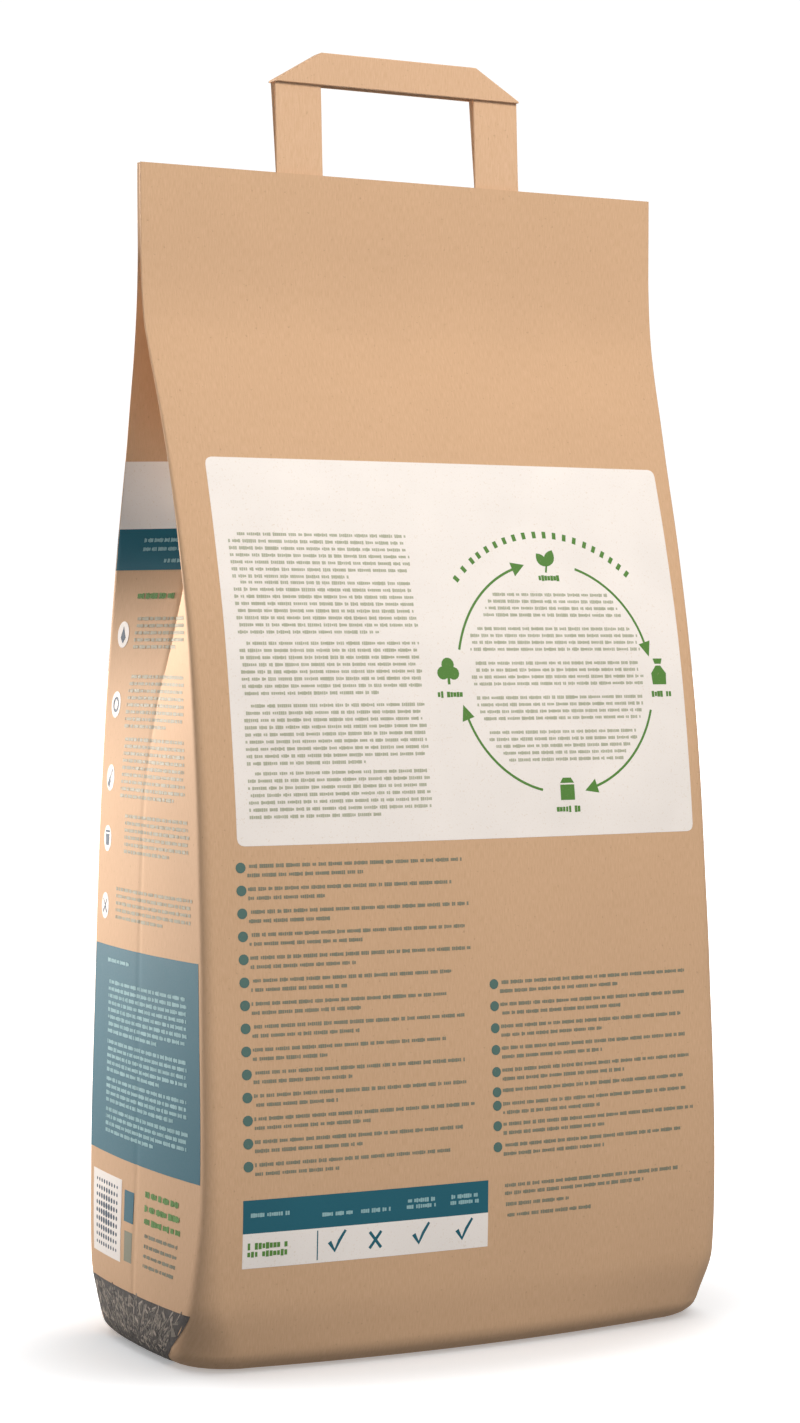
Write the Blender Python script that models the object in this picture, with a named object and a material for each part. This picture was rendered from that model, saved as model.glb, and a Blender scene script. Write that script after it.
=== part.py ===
"""Cat litter bag: a filled, sealed kraft-paper sack with a folded paper strap.

The sack is a gusseted tube of paper, shut flat along the top and folded to a
block bottom.  It is full of litter and can't be seen into, so it is one solid.
The strap is a second strip of paper whose two ends are glued between the
layers of the flat top seam.

Frame: metres, +Z up, origin at the bottom centre, printed front towards -Y.
"""

import math

import bmesh
import bpy

# ---------------------------------------------------------------- sizes (m)
BAG_WIDTH = 0.260          # across the front panel at the top seam
BAG_HEIGHT = 0.5144        # floor to the top edge of the seam
SEAM_HALF_THICKNESS = 0.0020
BASE_ROUNDING = 0.010      # radius where the walls turn under to the base

STRAP_WIDTH = 0.0232
STRAP_CENTRE = -0.0022     # the strap is glued in a little left of the middle
STRAP_LEAN = 0.0035        # how far back the grip stands behind the seam
HAND_GAP = 0.0776          # clear width between the two strap legs
STRAP_PLY = 0.0012         # strap thickness where it is glued in the seam
LEG_THICKNESS = 0.0050     # strap thickness where it meets the grip
LEG_BURIED = 0.0245        # length of each leg inside the seam
GRIP_BOTTOM = 0.5553
GRIP_TOP = 0.5697
GRIP_INSET = 0.0225        # how far the folded corners cut in at the top
GRIP_THICKNESS = 0.0080
FIT_GAP = 0.0003           # clearance all round each buried strap leg

# ------------------------------------------------------- shape of the sack
# One line per height: fraction of the height, then in metres the half depth
# and half width at the corners, the corner radius, the bulge of the front
# and back panels, the bulge of the sides, and the depth of the side fold.
STATIONS = (
    (0.00, 0.0594, 0.1316, 0.0300, 0.0080, 0.0013, 0.0000),
    (0.06, 0.0637, 0.1302, 0.0130, 0.0064, 0.0026, 0.0000),
    (0.15, 0.0658, 0.1276, 0.0070, 0.0058, 0.0032, 0.0000),
    (0.30, 0.0623, 0.1268, 0.0060, 0.0058, 0.0032, 0.0000),
    (0.45, 0.0562, 0.1261, 0.0050, 0.0052, 0.0019, 0.0000),
    (0.53, 0.0510, 0.1258, 0.0040, 0.0048, 0.0010, 0.0040),
    (0.60, 0.0449, 0.1255, 0.0030, 0.0044, 0.0000, 0.0115),
    (0.68, 0.0349, 0.1259, 0.0020, 0.0032, 0.0000, 0.0220),
    (0.75, 0.0242, 0.1265, 0.0014, 0.0023, 0.0000, 0.0330),
    (0.80, 0.0159, 0.1276, 0.0010, 0.0015, 0.0000, 0.0370),
    (0.84, 0.0089, 0.1287, 0.0008, 0.0009, 0.0000, 0.0280),
    (0.87, 0.0046, 0.1295, 0.0006, 0.0005, 0.0000, 0.0120),
    (0.90, 0.0027, 0.1297, 0.0005, 0.0000, 0.0000, 0.0030),
    (0.93, 0.0020, 0.1298, 0.0005, 0.0000, 0.0000, 0.0006),
    (1.00, 0.0020, 0.1300, 0.0005, 0.0000, 0.0000, 0.0004),
)

PANEL_STEPS = 12           # divisions across the front and the back
SIDE_STEPS = 5             # divisions from a corner to the side crease
CORNER_STEPS = 3
WALL_RINGS = 34
BASE_RINGS = 4


def clear_scene():
    """Start from an empty scene."""
    for item in list(bpy.data.objects):
        bpy.data.objects.remove(item, do_unlink=True)


def paper_material(name, colour, roughness):
    """Plain uncoated paper."""
    material = bpy.data.materials.new(name)
    material.use_nodes = True
    shader = material.node_tree.nodes["Principled BSDF"]
    shader.inputs["Base Color"].default_value = colour
    shader.inputs["Roughness"].default_value = roughness
    return material


def slopes():
    """Slope of every column at every station, limited so nothing overshoots."""
    columns = len(STATIONS[0]) - 1
    table = []
    for index in range(len(STATIONS)):
        row = []
        for column in range(1, columns + 1):
            if index in (0, len(STATIONS) - 1):
                row.append(0.0)
                continue
            before, here, after = STATIONS[index - 1:index + 2]
            left = (here[column] - before[column]) / (here[0] - before[0])
            right = (after[column] - here[column]) / (after[0] - here[0])
            if left * right <= 0.0:
                row.append(0.0)
            else:
                row.append(2.0 * left * right / (left + right))
        table.append(row)
    return table


SLOPES = slopes()


def shape_at(fraction):
    """Half depth, half width, radius, two bulges and fold depth at a height."""
    index = 0
    while index < len(STATIONS) - 2 and fraction > STATIONS[index + 1][0]:
        index += 1
    low, high = STATIONS[index], STATIONS[index + 1]
    span = high[0] - low[0]
    t = (fraction - low[0]) / span
    values = []
    for column in range(1, len(low)):
        start = low[column]
        end = high[column]
        leave = SLOPES[index][column - 1] * span
        arrive = SLOPES[index + 1][column - 1] * span
        values.append(
            start * (2.0 * t ** 3 - 3.0 * t ** 2 + 1.0)
            + leave * (t ** 3 - 2.0 * t ** 2 + t)
            + end * (3.0 * t ** 2 - 2.0 * t ** 3)
            + arrive * (t ** 3 - t ** 2)
        )
    return values


def base_inset(height):
    """How far the wall is drawn in near the floor."""
    if height >= BASE_ROUNDING:
        return 0.0
    rise = BASE_ROUNDING - height
    return BASE_ROUNDING - math.sqrt(BASE_ROUNDING ** 2 - rise ** 2)


def section(height):
    """The closed outline of the sack at one height, counter-clockwise."""
    depth, width, radius, panel, side, fold = shape_at(height / BAG_HEIGHT)
    inset = base_inset(height)
    depth = max(depth - inset, SEAM_HALF_THICKNESS)
    width -= inset
    radius = min(radius, 0.45 * depth)
    quarter = []
    half_panel = PANEL_STEPS // 2
    for step in range(half_panel):
        along = step / half_panel
        quarter.append((along * (width - radius), depth + panel * (1.0 - along ** 2)))
    for step in range(CORNER_STEPS + 1):
        angle = math.radians(90.0 * step / CORNER_STEPS)
        quarter.append((
            width - radius + radius * math.sin(angle),
            depth - radius + radius * math.cos(angle),
        ))
    for step in range(1, SIDE_STEPS + 1):
        along = 1.0 - step / SIDE_STEPS
        out = side * (1.0 - along ** 2) - fold * (1.0 - along)
        quarter.append((width + out, along * (depth - radius)))
    front_right = [(x, -y) for x, y in quarter]
    back_right = [(x, y) for x, y in reversed(quarter[:-1])]
    back_left = [(-x, y) for x, y in quarter[1:]]
    front_left = [(-x, -y) for x, y in reversed(quarter[1:-1])]
    return front_right + back_right + back_left + front_left


def ring_heights():
    """Rings packed through the base rounding, then evenly up the wall."""
    heights = []
    for step in range(BASE_RINGS):
        angle = math.radians(90.0 * step / BASE_RINGS)
        heights.append(BASE_ROUNDING * (1.0 - math.cos(angle)))
    for step in range(WALL_RINGS + 1):
        share = step / WALL_RINGS
        heights.append(BASE_ROUNDING + share * (BAG_HEIGHT - BASE_ROUNDING))
    return heights


def build_sack():
    """Loft the rings into one closed body."""
    mesh = bpy.data.meshes.new("bag_body")
    shell = bmesh.new()
    rings = []
    for height in ring_heights():
        rings.append([shell.verts.new((x, y, height)) for x, y in section(height)])
    count = len(rings[0])
    for low, high in zip(rings, rings[1:]):
        for index in range(count):
            following = (index + 1) % count
            shell.faces.new((low[index], low[following], high[following], high[index]))
    shell.faces.new(list(reversed(rings[0])))
    shell.faces.new(rings[-1])
    bmesh.ops.recalc_face_normals(shell, faces=shell.faces)
    shell.to_mesh(mesh)
    shell.free()
    sack = bpy.data.objects.new("bag_body", mesh)
    bpy.context.collection.objects.link(sack)
    return sack


def block(name, lower, upper):
    """A solid with a rectangle at the bottom and another at the top.

    Each rectangle is (x from, x to, y from, y to, height).
    """
    mesh = bpy.data.meshes.new(name)
    solid = bmesh.new()
    corners = []
    for x0, x1, y0, y1, z in (lower, upper):
        corners.append([
            solid.verts.new((x0, y0, z)),
            solid.verts.new((x1, y0, z)),
            solid.verts.new((x1, y1, z)),
            solid.verts.new((x0, y1, z)),
        ])
    low, high = corners
    solid.faces.new(list(reversed(low)))
    solid.faces.new(high)
    for index in range(4):
        following = (index + 1) % 4
        solid.faces.new((low[index], low[following], high[following], high[index]))
    bmesh.ops.recalc_face_normals(solid, faces=solid.faces)
    solid.to_mesh(mesh)
    solid.free()
    item = bpy.data.objects.new(name, mesh)
    bpy.context.collection.objects.link(item)
    return item


def combine(target, tool, operation):
    """Apply one exact Boolean and drop the tool."""
    modifier = target.modifiers.new("combine", "BOOLEAN")
    modifier.operation = operation
    modifier.solver = "EXACT"
    modifier.object = tool
    graph = bpy.context.evaluated_depsgraph_get()
    result = bpy.data.meshes.new_from_object(target.evaluated_get(graph))
    target.modifiers.clear()
    target.data = result
    bpy.data.objects.remove(tool, do_unlink=True)


def leg_limits(side):
    """Inner and outer edge of one strap leg along X, in rising order."""
    near = STRAP_CENTRE + side * HAND_GAP / 2.0
    far = STRAP_CENTRE + side * (HAND_GAP / 2.0 + STRAP_WIDTH)
    return min(near, far), max(near, far)


def cut_seam_pockets(sack):
    """Open the top seam where the two strap legs are glued in."""
    floor = BAG_HEIGHT - LEG_BURIED - FIT_GAP
    half = STRAP_PLY / 2.0 + FIT_GAP
    for side in (-1.0, 1.0):
        inner, outer = leg_limits(side)
        limits = (inner - FIT_GAP, outer + FIT_GAP, -half, half)
        pocket = block("pocket", limits + (floor,), limits + (BAG_HEIGHT + 0.01,))
        combine(sack, pocket, "DIFFERENCE")


def strap_leg(side):
    """One leg: thin in the seam, thicker where the strap folds into the grip."""
    inner, outer = leg_limits(side)
    thin = STRAP_PLY / 2.0
    thick = LEG_THICKNESS / 2.0
    buried = block(
        "leg",
        (inner, outer, -thin, thin, BAG_HEIGHT - LEG_BURIED),
        (inner, outer, -thin, thin, BAG_HEIGHT + 0.0015),
    )
    free = block(
        "leg_free",
        (inner, outer, -thin, thin, BAG_HEIGHT + 0.0010),
        (inner, outer, STRAP_LEAN - thick, STRAP_LEAN + thick, GRIP_BOTTOM + 0.003),
    )
    combine(buried, free, "UNION")
    return buried


def strap_grip():
    """The cross piece, with its two corners folded over at a slant."""
    left = leg_limits(-1.0)[0]
    right = leg_limits(1.0)[1]
    front = STRAP_LEAN - GRIP_THICKNESS / 2.0
    back = STRAP_LEAN + GRIP_THICKNESS / 2.0
    return block(
        "handle",
        (left, right, front, back, GRIP_BOTTOM),
        (left + GRIP_INSET, right - GRIP_INSET, front, back, GRIP_TOP),
    )


def build_strap():
    """Join the grip and the two legs into one strip."""
    strap = strap_grip()
    for side in (-1.0, 1.0):
        combine(strap, strap_leg(side), "UNION")
    strap.name = "handle"
    strap.data.name = "handle"
    return strap


def finish(item, material):
    """Weld, face outward and give the piece its own material."""
    tidy = bmesh.new()
    tidy.from_mesh(item.data)
    bmesh.ops.remove_doubles(tidy, verts=tidy.verts, dist=0.00001)
    bmesh.ops.recalc_face_normals(tidy, faces=tidy.faces)
    tidy.to_mesh(item.data)
    tidy.free()
    item.data.materials.clear()
    item.data.materials.append(material)


def main():
    clear_scene()
    sack = build_sack()
    cut_seam_pockets(sack)
    finish(sack, paper_material("kraft_paper_sack", (0.60, 0.39, 0.24, 1.0), 0.75))
    strap = build_strap()
    finish(strap, paper_material("kraft_paper_strap", (0.66, 0.43, 0.27, 1.0), 0.70))


main()
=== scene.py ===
# %% [markdown]
# # A filled kraft paper litter bag, finished for a studio picture
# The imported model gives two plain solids: the filled sack and its carrying strap. They say how big
# everything is and where it stands. This lesson dresses them: a lofted paper sack with its folds and
# layers, a folded paper strap, and the printing on the paper.

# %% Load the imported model
import math

import bmesh
import bpy
import numpy as np
from mathutils import Matrix, Vector, noise


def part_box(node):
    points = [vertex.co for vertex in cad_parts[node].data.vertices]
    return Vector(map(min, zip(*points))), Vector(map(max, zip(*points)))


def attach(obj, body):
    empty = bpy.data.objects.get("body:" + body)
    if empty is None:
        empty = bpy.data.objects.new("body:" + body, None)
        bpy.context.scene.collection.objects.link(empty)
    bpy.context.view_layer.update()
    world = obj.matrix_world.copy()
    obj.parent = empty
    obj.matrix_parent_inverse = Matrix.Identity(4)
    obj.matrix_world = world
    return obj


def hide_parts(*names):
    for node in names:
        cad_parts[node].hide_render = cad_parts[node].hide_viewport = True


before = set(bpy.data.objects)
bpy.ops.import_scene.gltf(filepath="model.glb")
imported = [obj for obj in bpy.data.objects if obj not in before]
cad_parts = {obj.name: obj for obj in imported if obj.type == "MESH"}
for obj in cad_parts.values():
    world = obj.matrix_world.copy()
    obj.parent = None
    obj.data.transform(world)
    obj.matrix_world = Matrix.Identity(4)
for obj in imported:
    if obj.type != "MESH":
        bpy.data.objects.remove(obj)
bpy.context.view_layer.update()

MM = 0.001

# %% [markdown]
# Two nodes matter for placing things. The sack's box gives the height of the top seam, and the
# strap's box gives the grip. Every size below starts from them.

# %% Read the driving sizes from the model
sack_low, sack_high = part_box("bag_body")
strap_low, strap_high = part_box("handle")
SACK_HEIGHT = sack_high.z
SEAM_WIDTH = 0.260
PANEL = SEAM_WIDTH / 2
print("seam at", round(SACK_HEIGHT / MM, 1), "mm, strap top at", round(strap_high.z / MM, 1), "mm")

# %% [markdown]
# ## Small helpers
# Colours are written as the hex values that a paint chart gives. Blender's shaders work in linear
# light, so one function converts them. A second one adds a node to any tree, shader or geometry,
# sets it up and links it, which keeps each recipe short enough to read.

# %% Colour and node helpers
def colour(code):
    """An sRGB hex code as linear red, green, blue and alpha."""
    parts = [int(code[start:start + 2], 16) / 255 for start in (1, 3, 5)]
    linear = [part / 12.92 if part <= 0.04045 else ((part + 0.055) / 1.055) ** 2.4 for part in parts]
    return (*linear, 1.0)


def add(tree, kind, sockets=None, **settings):
    """Adds one node, sets its properties, then fills or links its input sockets."""
    node = tree.nodes.new(kind)
    for name, value in settings.items():
        setattr(node, name, value)
    for name, value in (sockets or {}).items():
        if isinstance(value, bpy.types.NodeSocket):
            tree.links.new(value, node.inputs[name])
        else:
            node.inputs[name].default_value = value
    return node


def link_object(name, mesh):
    """Puts a finished mesh in the scene as an object at the origin."""
    item = bpy.data.objects.new(name, mesh)
    bpy.context.scene.collection.objects.link(item)
    return item


# %% [markdown]
# ## Camera
# The camera stands level, to the left of the printed front, with a long lens about 1.4 metres away.
# Its height is near the middle of the bag, and a small lens shift puts the bag in
# the middle of the tall picture instead of tilting the camera, which keeps upright edges upright.

# %% Place the camera
PICTURE_HEIGHT = 1423
CAMERA_TURN = math.radians(27.97)
camera_data = bpy.data.cameras.new("camera")
camera_data.sensor_width = 36.0
camera_data.lens = 77.84
camera_data.shift_y = -71 / PICTURE_HEIGHT
camera = bpy.data.objects.new("camera", camera_data)
camera.location = (-0.6545, -1.2288, 0.3074)
camera.rotation_euler = (math.radians(90), 0.0, -CAMERA_TURN)
bpy.context.scene.collection.objects.link(camera)
bpy.context.scene.camera = camera
print("camera turned", round(math.degrees(CAMERA_TURN), 1), "degrees from the front")

# %% [markdown]
# ## Studio
# A product picture on white needs a floor that goes to white away from the bag but still takes its
# shadow. The floor is a large matt sheet that also glows by itself, less so in an oval round the bag,
# where the shadow has to show. Behind everything stands a bright dome that only the camera sees, so
# it whitens the background without filling in the shading on the paper.

# %% Floor and backdrop
bpy.context.scene.view_settings.view_transform = "Standard"


def plain_material(name, surface):
    """A stage material with one shader."""
    material = bpy.data.materials.new(name)
    material.use_nodes = True
    material.node_tree.nodes.clear()
    shader = add(material.node_tree, surface)
    add(material.node_tree, "ShaderNodeOutputMaterial", {"Surface": shader.outputs[0]})
    return material, shader


floor_material, floor_shader = plain_material("matt_white_floor", "ShaderNodeBsdfPrincipled")
floor_shader.inputs["Base Color"].default_value = colour("#fafafa")
floor_shader.inputs["Roughness"].default_value = 1.0
floor_shader.inputs["Specular IOR Level"].default_value = 0.0
floor_shader.inputs["Emission Color"].default_value = colour("#ffffff")
floor_tree = floor_material.node_tree
oval = add(floor_tree, "ShaderNodeMapping", {
    "Vector": add(floor_tree, "ShaderNodeTexCoord").outputs["Object"], "Scale": (1 / 0.150, 1 / 0.088, 1.0)})
from_bag = add(floor_tree, "ShaderNodeVectorMath", {0: oval.outputs[0]}, operation="LENGTH")
glow = add(floor_tree, "ShaderNodeMapRange", {
    "Value": from_bag.outputs["Value"], "From Min": 0.95, "From Max": 1.9, "To Min": 0.28, "To Max": 0.95},
    interpolation_type="SMOOTHSTEP")
floor_tree.links.new(glow.outputs[0], floor_shader.inputs["Emission Strength"])
bpy.ops.mesh.primitive_plane_add(size=60.0)
floor = bpy.context.object
floor.name = "floor"
floor.data.materials.append(floor_material)

dome_material, dome_shader = plain_material("bright_backdrop", "ShaderNodeEmission")
dome_shader.inputs["Strength"].default_value = 1.05
bpy.ops.mesh.primitive_uv_sphere_add(segments=48, ring_count=24, radius=29.0)
dome = bpy.context.object
dome.name = "backdrop_dome"
dome.data.materials.append(dome_material)
floor.visible_diffuse = False
dome.visible_diffuse = False
dome.visible_glossy = False
dome.visible_transmission = False
dome.visible_shadow = False

# %% [markdown]
# Light comes from a panel high in front, which brightens the sloping upper part of the front and
# leaves the foot darker, a weak broad fill low in front, and a small weak panel behind the left side.
# That last one has a narrow spread and makes the middle of the side glow. A wide soft sun lights the
# floor alone, and a sky that is brighter above than below fills the rest.

# %% Lights
def area_light(name, place, target, size, power, tint="#ffffff"):
    """A rectangular soft light at one place, aimed at another."""
    data = bpy.data.lights.new(name, "AREA")
    data.shape = "RECTANGLE"
    data.size, data.size_y = size
    data.energy = power
    data.color = colour(tint)[:3]
    lamp = bpy.data.objects.new(name, data)
    lamp.location = place
    lamp.rotation_euler = (Vector(target) - Vector(place)).to_track_quat("-Z", "Y").to_euler()
    bpy.context.scene.collection.objects.link(lamp)
    return lamp


world = bpy.data.worlds.new("studio")
bpy.context.scene.world = world
world.use_nodes = True
sky = world.node_tree
direction = add(sky, "ShaderNodeSeparateXYZ", {"Vector": add(sky, "ShaderNodeTexCoord").outputs["Generated"]})
room = add(sky, "ShaderNodeMapRange", {
    "Value": direction.outputs["Z"], "From Min": -0.3, "From Max": 0.5, "To Min": 0.20, "To Max": 0.42})
sky.nodes["Background"].inputs["Color"].default_value = colour("#f6f7fa")
sky.links.new(room.outputs[0], sky.nodes["Background"].inputs["Strength"])

key = area_light("key_front_high", (0.14, -1.08, 1.28), (0.0, 0.0, 0.40), (0.55, 0.55), 16.5, "#fffaf4")
fill = area_light("low_front_fill", (0.15, -1.65, 0.20), (0.0, 0.0, 0.16), (0.9, 0.5), 2.2, "#fffdfa")
side_glow = area_light("side_glow", (-0.72, 1.04, 0.46), (-0.13, 0.0, 0.36), (0.30, 0.40), 2.6, "#fff8f2")
side_glow.data.spread = math.radians(50)

floor_sun_data = bpy.data.lights.new("floor_sun", "SUN")
floor_sun_data.energy = 1.5
floor_sun_data.angle = math.radians(90)
floor_sun = bpy.data.objects.new("floor_sun", floor_sun_data)
floor_sun.rotation_euler = (math.radians(-10), math.radians(18), 0.0)
bpy.context.scene.collection.objects.link(floor_sun)

# The panels that model the paper leave the floor to its own soft sun, and the sun leaves the paper.
just_floor = bpy.data.collections.new("floor_receives")
just_floor.objects.link(floor)
floor_sun.light_linking.receiver_collection = just_floor
not_floor = bpy.data.collections.new("floor_left_out")
not_floor.objects.link(floor)
for panel in (key, fill, side_glow):
    panel.light_linking.receiver_collection = not_floor
not_floor.collection_objects[0].light_linking.link_state = "EXCLUDE"

# %% [markdown]
# ## Brown kraft paper
# Kraft paper is unbleached wood pulp, matt and slightly uneven. Seen close it has fibres a few
# millimetres long that lie mostly along the roll, darker specks of bark, and a faint cloudiness where
# the pulp settled. The base colour therefore mixes three noises: one stretched along the paper for
# the fibres, a fine one for the specks, and a broad one for the clouds. The same fibres drive a small
# bump. Paper has almost no shine, so roughness stays high.

# %% Kraft material
def kraft(name, base, light, dark, uv_map=None):
    """Uncoated brown kraft paper. With a UV map in metres the fibres follow the sheet."""
    material = bpy.data.materials.new(name)
    material.use_nodes = True
    tree = material.node_tree
    shader = tree.nodes["Principled BSDF"]
    if uv_map:
        place = add(tree, "ShaderNodeUVMap", uv_map=uv_map).outputs["UV"]
    else:
        place = add(tree, "ShaderNodeTexCoord").outputs["Object"]
    # Fibres 0.5 mm across and about 4 mm long.
    stretch = (2000.0, 250.0, 2000.0) if uv_map else (2000.0, 2000.0, 250.0)
    along = add(tree, "ShaderNodeMapping", {"Vector": place, "Scale": stretch})
    fibres = add(tree, "ShaderNodeTexNoise", {"Vector": along.outputs[0], "Scale": 1.0, "Detail": 4.0})
    specks = add(tree, "ShaderNodeTexNoise", {"Vector": place, "Scale": 620.0, "Detail": 2.0})
    clouds = add(tree, "ShaderNodeTexNoise", {"Vector": place, "Scale": 22.0, "Detail": 3.0})
    fibre_tone = add(tree, "ShaderNodeMapRange", {
        "Value": fibres.outputs[0], "From Min": 0.3, "From Max": 0.7})
    body = add(tree, "ShaderNodeMix", {
        "Factor": fibre_tone.outputs[0], "A": colour(base), "B": colour(light)}, data_type="RGBA")
    speck_mask = add(tree, "ShaderNodeMapRange", {
        "Value": specks.outputs[0], "From Min": 0.66, "From Max": 0.76, "To Max": 0.30})
    specked = add(tree, "ShaderNodeMix", {
        "Factor": speck_mask.outputs[0], "A": body.outputs["Result"], "B": colour(dark)}, data_type="RGBA")
    cloud_tone = add(tree, "ShaderNodeMapRange", {
        "Value": clouds.outputs[0], "From Min": 0.3, "From Max": 0.7, "To Min": 0.985, "To Max": 1.015})
    clouded = add(tree, "ShaderNodeVectorMath", {
        0: specked.outputs["Result"], "Scale": cloud_tone.outputs[0]}, operation="SCALE")
    tree.links.new(clouded.outputs[0], shader.inputs["Base Color"])
    rough = add(tree, "ShaderNodeMapRange", {
        "Value": fibres.outputs[0], "To Min": 0.68, "To Max": 0.86})
    tree.links.new(rough.outputs[0], shader.inputs["Roughness"])
    relief = add(tree, "ShaderNodeBump", {
        "Height": fibres.outputs[0], "Strength": 0.10, "Distance": 0.0004})
    tree.links.new(relief.outputs[0], shader.inputs["Normal"])
    shader.inputs["Specular IOR Level"].default_value = 0.28
    return material


sack_paper_finish = kraft("brown_kraft_sack_paper", "#c9a37f", "#d3ae8b", "#8a6a4b", "paper")
strap_paper_finish = kraft("brown_kraft_strap_paper", "#d0a985", "#dab593", "#94714f")

# %% [markdown]
# ## The filled sack
# The sack is one tube of paper. At the top it is flat and glued shut, and its sides are tucked in as
# gussets. Lower down the litter pushes the tucks out until the sides are plump, and the bottom is
# folded square. So its cross-section changes steadily with height: that makes it a loft. A table
# gives the section at a few heights, a smooth curve fills in between, and a grid of points follows.
# A grid also gives a UV map in metres of paper, so that print can be laid out flat, as on a press.

# %% The section at each height
# Share of the height, then in mm: half depth, half width, corner radius, bulge of the front and
# back, bulge of the sides, depth of the side tuck.
SECTIONS = (
    (0.00, 59.4, 131.6, 30.0, 8.0, 1.3, 0.0),
    (0.06, 63.7, 130.2, 13.0, 6.4, 2.6, 0.0),
    (0.15, 65.8, 127.6, 7.0, 5.8, 3.2, 0.0),
    (0.30, 62.3, 126.8, 6.0, 5.8, 3.2, 0.0),
    (0.45, 56.2, 126.1, 5.0, 5.2, 1.9, 0.0),
    (0.53, 51.0, 125.8, 4.0, 4.8, 1.0, 4.0),
    (0.60, 44.9, 125.5, 3.0, 4.4, 0.0, 11.5),
    (0.68, 34.9, 125.9, 2.0, 3.2, 0.0, 22.0),
    (0.75, 24.2, 126.5, 1.4, 2.3, 0.0, 33.0),
    (0.80, 15.9, 127.6, 1.0, 1.5, 0.0, 37.0),
    (0.84, 8.9, 128.7, 0.8, 0.9, 0.0, 28.0),
    (0.87, 4.6, 129.5, 0.6, 0.5, 0.0, 12.0),
    (0.90, 2.7, 129.7, 0.5, 0.0, 0.0, 3.0),
    (0.93, 2.0, 129.8, 0.5, 0.0, 0.0, 0.6),
    (1.00, 2.0, 130.0, 0.5, 0.0, 0.0, 0.4),
)
BASE_ROUNDING = 0.010
SEAM_HALF = 0.002
HALF_RING = 0.386          # paper from the middle of the front to the middle of the back
SIDE_MIDDLE = HALF_RING / 2


def rising_slopes(table):
    """Slopes at the table's rows that never overshoot, so the outline stays calm."""
    slopes = np.zeros_like(table)
    steps = np.diff(table, axis=0)
    rates = steps / steps[:, :1]
    before, after = rates[:-1], rates[1:]
    same_way = before * after > 0
    total = np.where(same_way, before + after, 1.0)
    slopes[1:-1] = np.where(same_way, 2 * before * after / total, 0.0)
    return slopes


sections = np.array(SECTIONS)
sections[:, 1:] *= MM
section_slopes = rising_slopes(sections)


def section_at(height):
    """The six section sizes at a height, in metres."""
    share = height / SACK_HEIGHT
    row = int(np.clip(np.searchsorted(sections[:, 0], share, side="right") - 1, 0, len(sections) - 2))
    low, high = sections[row], sections[row + 1]
    span = high[0] - low[0]
    t = (share - low[0]) / span
    value = low * (2 * t ** 3 - 3 * t ** 2 + 1) + high * (3 * t ** 2 - 2 * t ** 3)
    value += span * section_slopes[row] * (t ** 3 - 2 * t ** 2 + t)
    value += span * section_slopes[row + 1] * (t ** 3 - t ** 2)
    return value[1:]


print("half depth at mid height:", round(section_at(SACK_HEIGHT / 2)[0] / MM, 1), "mm")

# %% One ring of the sack
FRONT_STEPS, CORNER_STEPS, SIDE_STEPS = 46, 8, 34


def quarter_ring(height):
    """Points x, y and paper distance u from the middle of the front to the middle of a side."""
    depth, width, radius, panel, side, tuck = section_at(height)
    drop = max(BASE_ROUNDING - height, 0.0)
    inset = BASE_ROUNDING - math.sqrt(BASE_ROUNDING ** 2 - drop ** 2)
    depth, width = max(depth - inset, SEAM_HALF), width - inset
    radius = min(radius, 0.45 * depth)
    flat = np.linspace(0, 1, FRONT_STEPS + 1)
    turn = np.linspace(0, math.pi / 2, CORNER_STEPS + 1)[1:]
    down = np.linspace(1, 0, SIDE_STEPS + 1)[1:]
    x = np.concatenate((
        flat * (width - radius),
        width - radius + radius * np.sin(turn),
        width + side * (1 - down ** 2) - tuck * (1 - down)))
    y = np.concatenate((
        depth + panel * (1 - flat ** 2),
        depth - radius + radius * np.cos(turn),
        down * (depth - radius)))
    corner = width - radius + radius * math.pi / 4
    u = np.concatenate((
        flat * (width - radius),
        width - radius + radius * np.minimum(turn, math.pi / 4),
        corner + (1 - down) * (SIDE_MIDDLE - corner)))
    late = FRONT_STEPS + CORNER_STEPS // 2 + 1
    early_side = SIDE_MIDDLE - corner
    u[late:FRONT_STEPS + CORNER_STEPS + 1] = corner + early_side * 0.02 * np.arange(1, CORNER_STEPS // 2 + 1)
    u[FRONT_STEPS + CORNER_STEPS + 1:] = corner + early_side * (0.08 + 0.92 * (1 - down))
    return x, y, u


def full_ring(height):
    """The whole ring, from the middle of the back past the left side, the front and the right."""
    x, y, u = quarter_ring(height)
    back_left = np.stack((-x, y, u - HALF_RING), 1)
    front_left = np.stack((-x, -y, -u), 1)[::-1]
    front_right = np.stack((x, -y, u), 1)
    back_right = np.stack((x, y, HALF_RING - u), 1)[::-1]
    return np.concatenate((back_left, front_left[1:], front_right[1:], back_right[1:]))


print("points in a ring:", len(full_ring(0.2)))

# %% [markdown]
# Real paper is never quite smooth. Filled with pellets it shows shallow dimples as wide as a hand,
# and each fold pressed in at the factory leaves a fine line. These are added by moving the grid's
# points along their own normals by fractions of a millimetre, which light picks up softly.

# %% Loft the sack
ROWS = 196
PLY = 0.00045
SEAM_CHANNEL = 0.003


def calm_noise(points, size, seed):
    """Smooth noise from -1 to 1 whose bumps are about that size, at each point."""
    shift = Vector((seed * 7.3, seed * 3.1, seed * 5.7))
    return np.array([noise.noise(Vector(point) / size + shift) for point in points])


def sack_heights():
    """Close rows through the rounded foot, then even ones up to the seam."""
    foot = BASE_ROUNDING * (1 - np.cos(np.linspace(0, math.pi / 2, 15)))[:-1]
    wall = np.linspace(BASE_ROUNDING, SACK_HEIGHT, ROWS)
    return np.concatenate((foot, wall))


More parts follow.
